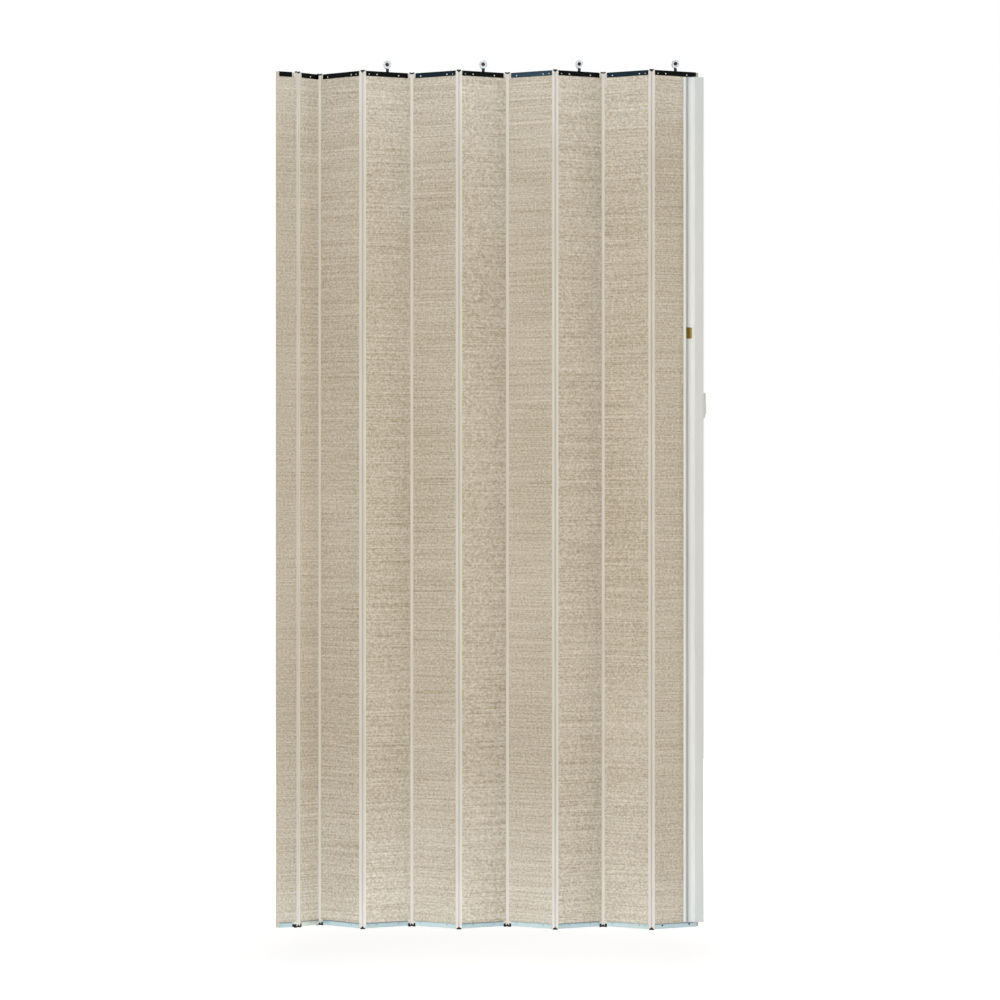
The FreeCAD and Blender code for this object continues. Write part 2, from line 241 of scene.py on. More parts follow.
# %% Groups and materials
def new_group(name, inputs, outputs):
    """A shader node group with vector input Place, float inputs with defaults, and float outputs."""
    group = bpy.data.node_groups.new(name, "ShaderNodeTree")
    group.interface.new_socket("Place", in_out="INPUT", socket_type="NodeSocketVector")
    for label, default in inputs.items():
        made = group.interface.new_socket(label, in_out="INPUT", socket_type="NodeSocketFloat")
        made.default_value = default
    for label in outputs:
        group.interface.new_socket(label, in_out="OUTPUT", socket_type="NodeSocketFloat")
    source = group.nodes.new("NodeGroupInput")
    target = group.nodes.new("NodeGroupOutput")
    return group, source.outputs, target.inputs


def use_group(tree, group, place, **values):
    """Put a group into a material with values of its own, and give its outputs."""
    return add_node(tree, "Group", {"Place": place, **values}, node_tree=group).outputs


def start_material(name, turn=0.0):
    """A new material, its tree, its Principled shader, and its place: Object coordinates turned about Z."""
    material = bpy.data.materials.new(name)
    material.use_nodes = True
    tree = material.node_tree
    shader = tree.nodes["Principled BSDF"]
    place = add_node(tree, "TexCoord").outputs["Object"]
    if turn:
        place = add_node(tree, "Mapping", {"Vector": place, "Rotation": (0.0, 0.0, -turn)}).outputs[0]
    return material, tree, shader, place


def set_sockets(tree, shader, **values):
    """Values or outputs on the shader's own sockets; underscores stand for spaces in the names."""
    for label, value in values.items():
        connect(tree, shader, label.replace("_", " "), value)


def add_bump(tree, shader, height, strength, depth):
    """Let `height` tilt the shader's normal; `depth` is the relief of one unit of height."""
    bump = add_node(tree, "Bump", {"Height": height, "Strength": strength, "Distance": depth})
    connect(tree, shader, "Normal", bump.outputs[0])


def dress(node, material):
    """Give a node of the frame its one material."""
    slots = nodes[node].data.materials
    slots.clear()
    slots.append(material)


# %% [markdown]
# ## Linen
# The boards are faced with slubby linen. Its weft threads run level, and each is thick and thin,
# pale and dark along its length, which from a few steps away makes the fine level streaks that
# one sees first. A picture of cloth would be quick but blurs up close. Instead each thread gets
# a number, by rounding the height down to whole threads, and that number picks its own noise.

# %% The weave as a node group
THREAD = 1.1 * MM
# Lumps of noise per metre along x, y and z, or per thread where the threads are counted.
WEFT_LUMPS = (4.5, 4.5, 3.71)
WARP_LUMPS = (3.71, 30.0, 30.0)
SLUB_LUMPS = (5.0, 5.0, 330.0)
GRAIN_LUMPS = (200.0, 200.0, 250.0)
PATCH_LUMPS = (5.0, 5.0, 3.0)
TINT_LUMPS = (120.0, 120.0, 200.0)
WARP_SHARE = 0.4
WEFT_RISE = 1.5


def linen_weave_group():
    """Tone = middle + weft streaks + broad slubs + grain + patches + warp. Height = over-under + weft.

    Tint = a noise of its own, which makes some threads warmer and some cooler.
    """
    group, given, result = new_group(
        "linen_weave",
        {"Thread": THREAD, "Streaks": 0.5, "Slubs": 0.5, "Grain": 0.5, "Patches": 0.3},
        ("Tone", "Tint", "Height"))
    axes = add_node(group, "SeparateXYZ", {0: given["Place"]}).outputs
    row = calc(group, "FLOOR", calc(group, "DIVIDE", axes[2], given["Thread"]))
    column = calc(group, "FLOOR", calc(group, "DIVIDE", axes[0], given["Thread"]))
    weft_place = add_node(group, "CombineXYZ", {0: axes[0], 1: axes[1], 2: row}).outputs[0]
    warp_place = add_node(group, "CombineXYZ", {0: column, 1: axes[1], 2: axes[2]}).outputs[0]
    weft = lumps(group, weft_place, WEFT_LUMPS, detail=1.0)
    warp = lumps(group, warp_place, WARP_LUMPS, detail=1.0, shift=(0.0, 7.0, 0.0))
    slub = lumps(group, given["Place"], SLUB_LUMPS, detail=1.0, shift=(3.0, 0.0, 0.0))
    grain = lumps(group, given["Place"], GRAIN_LUMPS)
    patch = lumps(group, given["Place"], PATCH_LUMPS, detail=1.0, shift=(0.0, 0.0, 9.0))
    warp_weight = calc(group, "MULTIPLY", given["Streaks"], WARP_SHARE)
    tone = 0.5
    for noise, weight in ((weft, given["Streaks"]), (slub, given["Slubs"]), (grain, given["Grain"]),
                          (patch, given["Patches"]), (warp, warp_weight)):
        tone = calc(group, "MULTIPLY_ADD", calc(group, "SUBTRACT", noise, 0.5), weight, tone)
    group.links.new(tone, result["Tone"])
    tint = lumps(group, given["Place"], TINT_LUMPS, shift=(0.0, 5.0, 0.0))
    group.links.new(tint, result["Tint"])
    turn = calc(group, "DIVIDE", math.pi, given["Thread"])
    level_wave = calc(group, "SINE", calc(group, "MULTIPLY", axes[2], turn))
    upright_wave = calc(group, "SINE", calc(group, "MULTIPLY", axes[0], turn))
    weave = calc(group, "MULTIPLY", level_wave, upright_wave)
    group.links.new(calc(group, "MULTIPLY_ADD", weft, WEFT_RISE, weave), result["Height"])
    return group


linen_weave = linen_weave_group()
print("group", linen_weave.name, "with", len(linen_weave.nodes), "nodes")

# %% [markdown]
# The weave has to run along each board, so its pattern is turned by the board's slope. Some boards
# get a tone of painted light and shade, a little darker or paler, so every board gets its own linen.

# %% Dress the boards
COOL_LINEN = (0.310, 0.262, 0.182), (0.665, 0.630, 0.560)
WARM_LINEN = (0.350, 0.262, 0.148), (0.735, 0.630, 0.470)
LINEN_ROUGHNESS = (0.95, 0.80)
# Painted light and shade: the cloth of some boards is made darker or paler to match how light falls on them.
LINEN_PAINTED_LIGHT_TONES = {"jamb": 0.93, "half": 1.05, "4": 0.98, "6": 0.98, "7": 1.025, "8": 0.96}


def linen(name, slope, tone):
    """Cloth with a painted tone of light and shade: its four colours are multiplied by it."""
    material, tree, shader, place = start_material(name, slope)
    weave = use_group(tree, linen_weave, place, Streaks=0.75, Slubs=0.55, Grain=1.45, Patches=0.3)
    colours = tone * np.array([COOL_LINEN, WARM_LINEN])
    cool, warm = [blend_colours(tree, weave["Tone"], low, high) for low, high in colours]
    set_sockets(tree, shader,
                Base_Color=mix_colours(tree, weave["Tint"], cool, warm),
                Roughness=spread_between(tree, weave["Tone"], *LINEN_ROUGHNESS),
                Specular_IOR_Level=0.2, Sheen_Weight=0.08, Sheen_Roughness=0.5)
    add_bump(tree, shader, weave["Height"], strength=0.25, depth=0.25 * MM)
    return material


for board in boards:
    painted_light_tone = LINEN_PAINTED_LIGHT_TONES.get(board.name, 1.0)
    dress("board_" + board.name, linen("linen_" + board.name, board.slope, painted_light_tone))
print("boards dressed:", len(boards))

# %% [markdown]
# ## Cloudy finishes
# Vinyl, nylon, rubber and stained brass are cloudy rather than flat in colour. The effect serves
# all of them, so it is a node group of its own, and each material chooses how strongly to use it:
# the colour and the gloss both follow the same clouds.

# %% The cloud group
SPECK_LUMPS = (900.0, 900.0, 900.0)


def cloud_group():
    """Cloud = soft noise of the given lumps per metre, drawn out along the height, plus fine specks.

    Height = the specks alone.
    """
    group, given, result = new_group(
        "cloud", {"Lumps": 60.0, "Draw": 0.2, "Specks": 0.3}, ("Cloud", "Height"))
    upright = calc(group, "MULTIPLY", given["Lumps"], given["Draw"])
    lengths = add_node(group, "CombineXYZ", {0: given["Lumps"], 1: given["Lumps"], 2: upright})
    soft = lumps(group, given["Place"], lengths.outputs[0], detail=3.0)
    speck = lumps(group, given["Place"], SPECK_LUMPS, detail=1.0)
    centred = calc(group, "SUBTRACT", speck, 0.5)
    group.links.new(calc(group, "MULTIPLY_ADD", centred, given["Specks"], soft), result["Cloud"])
    group.links.new(speck, result["Height"])
    return group


def cloudy(name, colours, roughness, turn=0.0, shade=None, **cloud_values):
    """A material between two colours by its clouds. `shade` gives a tone that darkens it in places."""
    material, tree, shader, place = start_material(name, turn)
    skin = use_group(tree, cloud, place, **cloud_values)
    colour = blend_colours(tree, skin["Cloud"], *colours)
    if shade:
        colour = mix_colours(tree, 1.0, colour, shade(tree, place), "MULTIPLY")
    set_sockets(tree, shader, Base_Color=colour,
                Roughness=spread_between(tree, skin["Cloud"], *roughness))
    return material, tree, shader, skin["Height"]


cloud = cloud_group()
print("group", cloud.name, "with", len(cloud.nodes), "nodes")

# %% Rubber for the clips, nylon for the wheels
RUBBER_BLACK = (0.006, 0.006, 0.006), (0.022, 0.021, 0.020)
RUBBER_ROUGHNESS = (0.50, 0.75)
NYLON_WHITE = (0.50, 0.50, 0.485), (0.66, 0.66, 0.64)
NYLON_ROUGHNESS = (0.30, 0.45)


def rubber(name):
    """Dull black rubber with fine specks in its relief."""
    material, tree, shader, specks = cloudy(name, RUBBER_BLACK, RUBBER_ROUGHNESS,
                                            Lumps=250.0, Draw=1.0, Specks=0.6)
    set_sockets(tree, shader, Specular_IOR_Level=0.15)
    add_bump(tree, shader, specks, strength=0.15, depth=0.1 * MM)
    return material


def nylon(name):
    """White plastic that lets a little light in under its skin."""
    material, tree, shader, _ = cloudy(name, NYLON_WHITE, NYLON_ROUGHNESS,
                                       Lumps=180.0, Draw=1.0, Specks=0.3)
    set_sockets(tree, shader, Subsurface_Weight=0.1, Subsurface_Scale=1.5 * MM)
    return material


clip_rubber = rubber("clip_rubber")
wheel_nylon = nylon("wheel_nylon")
wheel_pairs = [node for node in nodes if node.startswith("wheels_")]
for node in wheel_pairs:
    dress(node, wheel_nylon)
print("wheel pairs dressed:", len(wheel_pairs))

# %% [markdown]
# ## Painted light and shade on the vinyl
# Shade in the grooves and light on the ridges are painted into the colour of the pale extrusions,
# which makes their shape easier to read. The hinges carry a number at every point, 1 in the groove
# and 0 away from it, and it paints their groove darker. The post is painted by the distance from its
# lip: bright on the lip, painted shade in the groove behind it, paler along the neck up to a painted
# highlight on the ridge where the nose begins, darker again on the nose, and painted shade a little
# towards the post's two ends.

# %% Painted light and shade of the vinyl
GROOVE_PAINTED_SHADE_TONE = 0.80
POST_LENGTH = 45.0 * MM
# Pairs of the distance from the post's lip in millimetres, and the tone of painted light and shade there.
POST_PAINTED_TONES = [(0.0, 0.99), (2.6, 0.99), (4.4, 0.70), (9.0, 0.66), (11.0, 0.76), (15.0, 0.83),
              (18.5, 0.95), (20.5, 1.0), (22.5, 0.775), (45.0, 0.765)]
POST_END_RUN = 220.0 * MM
POST_END_PAINTED_SHADE = 0.91


def groove_shade(tree, place):
    """Painted shade in the groove: the tone falls where the hinge's own attribute is 1. The place isn't
    needed.
    """
    groove = add_node(tree, "Attribute", attribute_name="groove").outputs["Fac"]
    return spread_between(tree, groove, 1.0, GROOVE_PAINTED_SHADE_TONE)


def post_shade(tree, place):
    """Painted light and shade by the distance from the lip, a ramp through the painted tones.

    Times a painted shade that darkens the last stretch to the post's two ends.
    """
    axes = add_node(tree, "SeparateXYZ", {0: place}).outputs
    lip = (corners_of("lead_post")[:, :2] @ boards[-1].along).min()
    share = spread_between(tree, axes[0], 0.0, 1.0, lip, lip + POST_LENGTH)
    ramp = add_node(tree, "ValToRGB", {0: share})
    stops = ramp.color_ramp.elements
    while len(stops) < len(POST_PAINTED_TONES):
        stops.new(1.0)
    for stop, (distance, tone) in zip(stops, POST_PAINTED_TONES):
        stop.position = distance * MM / POST_LENGTH
        stop.color = (tone, tone, tone, 1.0)
    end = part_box("lead_post")[1].z
    height = calc(tree, "ABSOLUTE", axes[2])
    fall = spread_between(tree, height, 1.0, POST_END_PAINTED_SHADE, end - POST_END_RUN, end)
    return mix_colours(tree, 1.0, ramp.outputs["Color"], fall, "MULTIPLY")


print("tones on the post:", len(POST_PAINTED_TONES))

# %% Vinyl for the hinges and the post
HINGE_CREAM = (0.55, 0.495, 0.41), (0.68, 0.63, 0.545)
POST_WHITE = (0.74, 0.74, 0.685), (0.87, 0.87, 0.81)
VINYL_ROUGHNESS = (0.38, 0.55)


def vinyl(name, colours, lumps_per_metre, shade, turn=0.0):
    """Cloudy vinyl. `shade` gives its tone of painted light and shade."""
    material, tree, shader, specks = cloudy(name, colours, VINYL_ROUGHNESS, turn, shade,
                                            Lumps=lumps_per_metre, Draw=0.15, Specks=0.25)
    set_sockets(tree, shader, Specular_IOR_Level=0.35)
    add_bump(tree, shader, specks, strength=0.08, depth=0.08 * MM)
    return material


hinge_vinyl = vinyl("hinge_vinyl", HINGE_CREAM, lumps_per_metre=40.0, shade=groove_shade)
post_vinyl = vinyl("post_vinyl", POST_WHITE, lumps_per_metre=25.0, shade=post_shade,
                   turn=boards[-1].slope)
for node in ("lead_post", "latch_tongue"):
    dress(node, post_vinyl)
print("vinyl:", hinge_vinyl.name, post_vinyl.name)

# %% [markdown]
# ## Sheet steel
# Rolled steel shows fine lines from the mill, long along the sheet and close together across it.
# On the lower caps a painted shade also darkens the upper edge, where the cloth meets the cap.
# Both effects serve several materials, so each is a node group.

# %% Rolling lines and painted edge shade as node groups
MILL_CLOUD_LUMPS = (45.0, 45.0, 90.0)
PAINTED_SHADE_WIDTH = 3.6 * MM


def rolling_group():
    """Lines = noise that is long along the sheet and fine across it. Cloud = slow clouding."""
    group, given, result = new_group("rolling_lines", {"Fine": 2200.0, "Long": 30.0}, ("Lines", "Cloud"))
    lengths = add_node(group, "CombineXYZ", {0: given["Long"], 1: given["Fine"], 2: given["Fine"]})
    group.links.new(lumps(group, given["Place"], lengths.outputs[0]), result["Lines"])
    group.links.new(lumps(group, given["Place"], MILL_CLOUD_LUMPS), result["Cloud"])
    return group


def grime_group():
    """A painted shade line: Shade = 1, and over the last Width below the height Edge it falls to Tone."""
    group, given, result = new_group(
        "edge_grime", {"Edge": 0.0, "Width": PAINTED_SHADE_WIDTH, "Tone": 0.3}, ("Shade",))
    height = add_node(group, "SeparateXYZ", {0: given["Place"]}).outputs[2]
    start = calc(group, "SUBTRACT", given["Edge"], given["Width"])
    shade = spread_between(group, height, 1.0, given["Tone"], start, given["Edge"])
    group.links.new(shade, result["Shade"])
    return group


rolling_lines = rolling_group()
edge_grime = grime_group()
print("groups:", rolling_lines.name, edge_grime.name)

# %% Steel for the hangers and the latch
HANGER_BLACK = (0.012, 0.012, 0.013), (0.030, 0.030, 0.032)
HANGER_ROUGHNESS = (0.30, 0.50)
CASE_GREY = (0.42, 0.43, 0.45), (0.58, 0.59, 0.60)
CASE_ROUGHNESS = (0.25, 0.40)
LOWER_CAP_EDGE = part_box("bottom_cap_1")[1].z


def sheet_metal(name, colours, roughness, turn=0.0, painted_shade_tone=None):
    """Rolled sheet between two colours, by lines and clouds in equal shares. A tone adds a painted shade
    along the upper edge of a lower cap.
    """
    material, tree, shader, place = start_material(name, turn)
    sheet = use_group(tree, rolling_lines, place)
    half_cloud = calc(tree, "MULTIPLY", sheet["Cloud"], 0.5)
    share = calc(tree, "MULTIPLY_ADD", sheet["Lines"], 0.5, half_cloud)
    colour = blend_colours(tree, share, *colours)
    # Painted shade along the upper edge of a lower cap.
    if painted_shade_tone:
        painted_shade = use_group(tree, edge_grime, place, Edge=LOWER_CAP_EDGE, Tone=painted_shade_tone)
        colour = mix_colours(tree, 1.0, colour, painted_shade["Shade"], "MULTIPLY")
    set_sockets(tree, shader, Base_Color=colour, Metallic=1.0,
                Roughness=spread_between(tree, sheet["Lines"], *roughness))
    add_bump(tree, shader, sheet["Lines"], strength=0.05, depth=0.05 * MM)
    return material


hanger_steel = sheet_metal("hanger_steel", HANGER_BLACK, HANGER_ROUGHNESS)
case_steel = sheet_metal("case_steel", CASE_GREY, CASE_ROUGHNESS)
hangers = [node for node in nodes if node.startswith("hanger_")]
for node in hangers:
    dress(node, hanger_steel)
for node in ("latch_case", "latch_spring"):
    dress(node, case_steel)
print("hangers dressed:", len(hangers))

# %% [markdown]
# The caps are nearly black steel above and pale zinc below. On the caps that face left a painted
# blue reflection shows above, stronger on some boards than others, and the zinc below is painted paler.

# %% Steel for the caps
BLUE_SLOPE = -24.0
BLACK_SHEEN = (0.003, 0.003, 0.003), (0.012, 0.013, 0.013)
# Painted reflection: the caps that face left are bluer above, more on some boards than others.
PAINTED_BLUE_REFLECTION = (0.003, 0.007, 0.012), (0.034, 0.060, 0.080)
PAINTED_REFLECTION_TONES = {"3": 0.55, "5": 1.80, "7": 0.80}
SHEEN_ROUGHNESS = (0.12, 0.25)
ZINC = (0.292, 0.389, 0.414), (0.508, 0.609, 0.626)
# Painted light: the lower caps that face left are paler.
PAINTED_PALE_ZINC = (0.319, 0.411, 0.422), (0.555, 0.644, 0.639)
GREY_ZINC = (0.400, 0.430, 0.385), (0.640, 0.665, 0.600)
ZINC_ROUGHNESS = (0.25, 0.42)
# Painted shade along the upper edge of the lower caps, lighter on the caps that face left.
PAINTED_SHADE_TONE = 0.30
PALE_PAINTED_SHADE_TONE = 0.60


def cap_steels(board):
    """Top-cap and bottom-cap steel of a board. The caps that face left get a painted blue reflection above,
    and a paler painted zinc with a lighter painted edge shade below.

    The lower cap of the half panel is grey.
    """
    faces_left = round(math.degrees(board.slope), 1) == BLUE_SLOPE
    steel_and_painted_reflection = PAINTED_REFLECTION_TONES.get(board.name, 1.0) * np.array(PAINTED_BLUE_REFLECTION if faces_left else BLACK_SHEEN)
    zinc = PAINTED_PALE_ZINC if faces_left else ZINC
    if board.name == "half":
        zinc = GREY_ZINC
    painted_shade_tone = PALE_PAINTED_SHADE_TONE if faces_left else PAINTED_SHADE_TONE
    return (
        sheet_metal("blued_steel_" + board.name, steel_and_painted_reflection, SHEEN_ROUGHNESS, board.slope),
        sheet_metal("zinc_steel_" + board.name, zinc, ZINC_ROUGHNESS, board.slope, painted_shade_tone),
    )


for board in boards:
    for kind, material in zip(("top_cap_", "bottom_cap_"), cap_steels(board)):
        dress(kind + board.name, material)
print("caps dressed:", 2 * len(boards))

# %% [markdown]
# ## Turning arrays into pieces
# Each new piece is a grid of points that numpy works out as a whole. A grid of rows and columns
# becomes four-sided faces, and a grid that closes on itself joins its last column to its first.

# %% Mesh helpers
def grid_faces(rows, columns, closed, first=0):
    """Corner numbers of a grid's faces; `closed` joins the last column to the first."""
    row = np.arange(rows - 1)[:, None]
    column = np.arange(columns if closed else columns - 1)[None, :]
    after = (column + 1) % columns
    corners = [row * columns + column, row * columns + after,
               (row + 1) * columns + after, (row + 1) * columns + column]
    return first + np.stack(np.broadcast_arrays(*corners), -1).reshape(-1, 4)


def new_piece(name, points, faces, material, crease=35.0):
    """A mesh piece from points and faces, smooth except over edges sharper than `crease` degrees."""
    mesh = bpy.data.meshes.new(name)
    mesh.from_pydata(np.asarray(points).reshape(-1, 3).tolist(), [], faces)
    mesh.validate()
    mesh.polygons.foreach_set("use_smooth", np.ones(len(mesh.polygons), bool))
    mesh.set_sharp_from_angle(angle=math.radians(crease))
    mesh.materials.append(material)
    piece = bpy.data.objects.new(name, mesh)
    bpy.context.scene.collection.objects.link(piece)
    return piece


print("a closed grid of 3 rows and 4 columns has", len(grid_faces(3, 4, True)), "faces")

# %% [markdown]
# ## Vinyl hinges
# At every fold one long vinyl extrusion grips the edges of two boards with its tongues and shows
# two soft beads with a groove between them. When the door moves it has to bend, so it can't stay
# a stiff solid.

# %% A hinge's corners at a board's edge
HINGE_FIT = 0.1 * MM
TONGUE_DEPTH = 7.0 * MM
TONGUE_HALF = 3.7 * MM


def board_edge(board, ahead, bulge_front):
    """Hinge corners at one board edge, on the hollow and on the bulging side, and the edge's middle.

    The corners are tongue tip, tongue root and face.
    """
    edge = board.end if ahead else board.start
    toward = 1 if ahead else -1
    middle = (board.front + board.rear) / 2
    hollow, bulge = (board.rear, board.front) if bulge_front else (board.front, board.rear)
    side = -1 if bulge_front else 1
    tip, root = edge - toward * TONGUE_DEPTH, edge + toward * HINGE_FIT
    low = spot(board, [tip, root, root], [middle - side * TONGUE_HALF] * 2 + [hollow])
    high = spot(board, [tip, root, root], [middle + side * TONGUE_HALF] * 2 + [bulge])
    return low, high, spot(board, root, middle)


print("corners on each side of an edge:", len(board_edge(boards[0], True, True)[0]))

# %% The section of a hinge
BEAD_RISE = 1.3 * MM
GROOVE_RISE = -1.8 * MM
WEB_HOLLOW = 0.7 * MM
BEAD_STEPS = 12

Fold = namedtuple("Fold", "left right start end lower upper middle level out")


def arch(a, b, out, rise, steps):
    """A shallow arch from a to b: the chord plus 4 rise t (1 - t) along `out`."""
    t = np.linspace(0, 1, steps)[:, None]
    return a + (b - a) * t + out * (4 * rise * t * (1 - t))


def fold_between(left, right):
    """The two long sides of a hinge's section: tongue, web, tongue, and tongue, two beads, tongue.

    `level` runs over the fold from face to face, and `out` points away on the bulging side.
    """
    bulge_front = right.slope > left.slope
    left_low, left_high, start = board_edge(left, True, bulge_front)
    right_low, right_high, end = board_edge(right, False, bulge_front)
    level = right_high[-1] - left_high[-1]
    level /= np.linalg.norm(level)
    out = np.array([level[1], -level[0]]) * (1 if bulge_front else -1)
    groove = (left_high[-1] + right_high[-1]) / 2 + out * GROOVE_RISE
    beads = np.vstack([arch(left_high[-1], groove, out, BEAD_RISE, BEAD_STEPS)[:-1],
                       arch(groove, right_high[-1], out, BEAD_RISE, BEAD_STEPS)])
    web = arch(left_low[-1], right_low[-1], out, WEB_HOLLOW, len(beads))
    lower = np.vstack([left_low[:-1], web, right_low[-2::-1]])
    upper = np.vstack([left_high[:-1], beads, right_high[-2::-1]])
    middle = (left_low[-1] + right_low[-1] + left_high[-1] + right_high[-1]) / 4
    return Fold(left, right, start, end, lower, upper, middle, level, out)


folds = [fold_between(left, right) for left, right in zip(boards, boards[1:])]
print(len(folds), "folds with", len(folds[0].upper), "points on each side of the section")

# %% Notches at the ends of the hinges
NOTCH_HALF = 4.3 * MM
NEAR_NOTCHES = (3.8 * MM, 3.8 * MM)
FAR_NOTCHES = (1.8 * MM, 4.6 * MM)


def has_humped_clips(index, place):
    """The clips of the far folds and of the jamb strip's fold have two humps."""
    return index == 0 or place.out[1] > 0


def notch_depths(index, place):
    """Depth of the notch at the top and at the bottom end of a hinge."""
    return FAR_NOTCHES if has_humped_clips(index, place) else NEAR_NOTCHES


humped = [has_humped_clips(index, place) for index, place in enumerate(folds)]
print("folds with humped clips:", sum(humped))

# %% Carry the sections to full height
NOTCH_RUN = 30 * MM
GROOVE_WIDTH = 1.6 * MM


def hinge_strip(index, place):
    """The section carried up in Z. Its ends dip in a V: depth (1 - distance from the middle / half width).

    Painted shade in the groove falls off as exp(-(distance / width)^2). The jamb strip's fold has none.
    """
    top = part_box("hinge_%d" % index)[1].z
    ring = np.vstack([place.lower, place.upper[::-1]])
    distance = np.abs((ring - place.middle) @ place.level)
    dip = np.clip(1 - distance / NOTCH_HALF, 0, None)
    upper_end, lower_end = [top - depth * dip for depth in notch_depths(index, place)]
    plain = np.full(len(ring), top - NOTCH_RUN)
    heights = np.stack([-lower_end, -plain, plain, upper_end])
    plan = np.broadcast_to(ring, (len(heights), *ring.shape))
    points = np.concatenate([plan, heights[..., None]], -1)
    count, rows = len(ring), len(heights)
    half = count // 2
    step = np.arange(half - 1)
    floor = np.stack([step, count - 1 - step, count - 2 - step, step + 1], -1)
    roof = floor[:, ::-1] + (rows - 1) * count
    faces = np.vstack([grid_faces(rows, count, True), floor, roof]).tolist()
    strip = new_piece("hinge_strip_%d" % index, points, faces, hinge_vinyl)
    # Painted shade in the groove, kept as a number at every point of the strip.
    groove_shade_paint = np.exp(-(distance / GROOVE_WIDTH) ** 2) * (index > 0)
    groove_shade_paint[:half] = 0
    strip.data.attributes.new("groove", "FLOAT", "POINT").data.foreach_set("value", np.tile(groove_shade_paint, rows))
    return strip


def bend_between(piece, place, *replaced):
    """Let a piece stand for frame nodes: hide those, and bake the piece's transform into its mesh."""
    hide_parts(*replaced)
    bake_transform(piece)


for index, place in enumerate(folds):
    strip = hinge_strip(index, place)
    bend_between(strip, place, "hinge_%d" % index)
print("hinge strips:", len(folds))

# %% [markdown]
# ## Rubber clips
# A black rubber clip plugs each end of a hinge: a wedge sits in the notch of the vinyl, and its
# head stands over the caps, humped on the far folds and on the jamb's, and plain on the near
# ones. It is a flat outline pulled through the depth of the hinge, with its edges rounded. The
# lower clips spread wider than the upper ones.

# %% The outline of a clip
CLIP_SADDLE = 1.2 * MM
CLIP_SADDLE_SHARE = 0.2
NEAR_CLIP_WIDTHS = (10.4 * MM, 12.0 * MM)
FAR_CLIP_WIDTHS = (12.4 * MM, 18.0 * MM)


def clip_outline(index, place, width, notch):
    """Points (distance, height) round one upper clip: a head, humped or plain, over a V of depth `notch`."""
    head_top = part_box("hinge_clips_%d" % index)[1].z
    cap_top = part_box("top_cap_1")[1].z + HINGE_FIT
    hinge_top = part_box("hinge_%d" % index)[1].z
    saddle = CLIP_SADDLE if has_humped_clips(index, place) else 0.0
    right = [(width * CLIP_SADDLE_SHARE, head_top), (width / 2, head_top), (width / 2, cap_top),
             (NOTCH_HALF, cap_top), (NOTCH_HALF, hinge_top)]
    left = [(-x, z) for x, z in reversed(right)]
    tip = (0, hinge_top - notch)
    return np.array([(0, head_top - saddle)] + right + [tip] + left)


first_outline = clip_outline(0, folds[0], FAR_CLIP_WIDTHS[0], FAR_NOTCHES[0])
print("a clip is", round(np.ptp(first_outline[:, 1]) / MM, 1), "mm high")

# %% Cut the clips
CLIP_INSET = 1.6 * MM
CLIP_ROUNDING = 0.45 * MM
CLIP_ROUNDING_STEPS = 2


def clip_points(place, outline):
    """The outline set up twice: a little inside the hollow side, and at the bulging side of the hinge."""
    rims = []
    for side, inset in ((place.lower, CLIP_INSET), (place.upper, 0.0)):
        depth = (side[len(side) // 2] - place.middle) @ place.out + inset
        plan = place.middle + place.out * depth + np.multiply.outer(outline[:, 0], place.level)
        rims.append(np.column_stack([plan, outline[:, 1]]))
    return np.vstack(rims)


def hinge_clip_pair(index, place):
    """The upper clip of a fold, and the lower one: a wider outline mirrored to the bottom end."""
    widths = FAR_CLIP_WIDTHS if has_humped_clips(index, place) else NEAR_CLIP_WIDTHS
    top, bottom = [clip_points(place, clip_outline(index, place, width, notch))
                   for width, notch in zip(widths, notch_depths(index, place))]
    count = len(top) // 2
    rims = [list(range(count))[::-1], list(range(count, 2 * count))]
    faces = grid_faces(2, count, True).tolist() + rims
    lower_faces = [[corner + len(top) for corner in reversed(face)] for face in faces]
    points = np.vstack([top, bottom * (1, 1, -1)])
    pair = new_piece("rubber_clips_%d" % index, points, faces + lower_faces, clip_rubber)
    rounding = pair.modifiers.new("rounding", "BEVEL")
    rounding.width = CLIP_ROUNDING
    rounding.segments = CLIP_ROUNDING_STEPS
    return pair


for index, place in enumerate(folds):
    pair = hinge_clip_pair(index, place)
    bend_between(pair, place, "hinge_clips_%d" % index)
print("clip pairs:", len(folds))

# %% [markdown]
# Beside the humped clips, the lower caps leave a corner free on each side of a hinge's tongue.
# Small black blocks fill these corners. They are stiff and ride on the board.

# %% Fill the lower corners beside the humped clips
WING_RISE = 6.0 * MM
WING_FIT = 0.2 * MM
BLOCK_CORNERS = 8


def wing_blocks(board, ahead):
    """Two blocks beside a tongue: rectangles in (reach, depth) between cap and hinge, carried up in Z."""
    cap = corners_of("bottom_cap_" + board.name)
    reach = cap[:, :2] @ board.along
    first, last = (reach.max(), board.end) if ahead else (board.start, reach.min())
    middle = (board.front + board.rear) / 2
    reaches = np.array([first, last, last, first]) + np.array([1, -1, -1, 1]) * WING_FIT
    heights = cap[:, 2].min() + np.array([0, WING_RISE])
    blocks = []
    for low, high in ((board.front, middle - TONGUE_HALF), (middle + TONGUE_HALF, board.rear)):
        depths = np.array([low, low, high, high]) + np.array([1, 1, -1, -1]) * WING_FIT
        ring = spot(board, reaches, depths)
        blocks.append(np.vstack([np.column_stack([ring, np.full(4, z)]) for z in heights]))
    return blocks


def clip_wings(board, ends):
    """All blocks of a board. Each is a closed grid of two rows, shut by a foot and a top."""
    blocks = [block for ahead in ends for block in wing_blocks(board, ahead)]
    faces = []
    for first in range(0, BLOCK_CORNERS * len(blocks), BLOCK_CORNERS):
        foot, top = [first + k for k in (3, 2, 1, 0)], [first + k for k in (4, 5, 6, 7)]
        faces += grid_faces(2, 4, True, first).tolist() + [foot, top]
    return new_piece("clip_wings_" + board.name, np.vstack(blocks), faces, clip_rubber)


